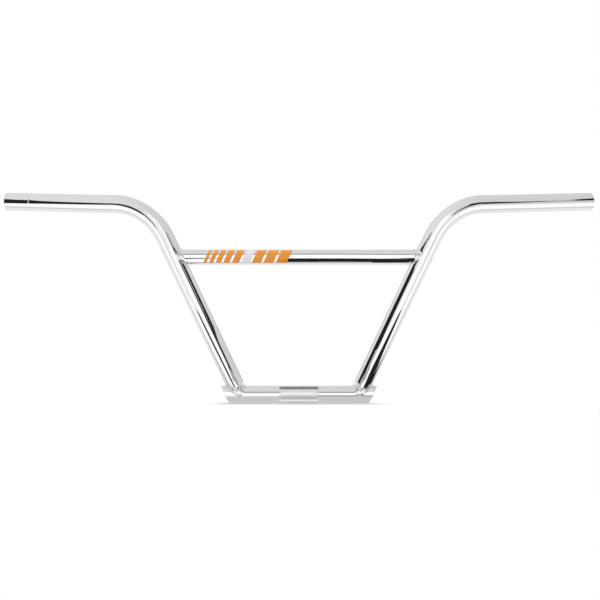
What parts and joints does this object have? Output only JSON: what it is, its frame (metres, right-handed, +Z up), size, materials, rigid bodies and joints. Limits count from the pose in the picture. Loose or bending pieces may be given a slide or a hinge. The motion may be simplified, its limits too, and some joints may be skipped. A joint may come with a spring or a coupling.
{
  "type": "bmx handlebar",
  "caption": "Chrome BMX handlebar: bent side tubes and a crossbar welded to a knurled base tube that a stem clamps, with grips swept back and up.",
  "frame": {"origin": "middle of the knurled clamp zone, on the base tube's axis", "axes": "+X along the base tube, to the right as seen from the front; +Z up in the plane of the base tube and the legs; the grips sweep back towards +Y, where the rider sits"},
  "size_m": [0.7428, 0.059, 0.2636],
  "materials": {
    "chrome": "mirror chrome plate on steel, satin on the knurl and the weld beads",
    "orange_film": "printed gloss film",
    "white_film": "printed gloss film"
  },
  "bodies": {
    "root": {"base_tube": "chrome", "left_side_tube": "chrome", "right_side_tube": "chrome", "crossbar": "chrome", "left_base_weld": "chrome", "right_base_weld": "chrome", "left_crossbar_weld": "chrome", "right_crossbar_weld": "chrome", "decal_orange_bars": "orange_film", "decal_white_bar": "white_film"}
  },
  "joints": []
}
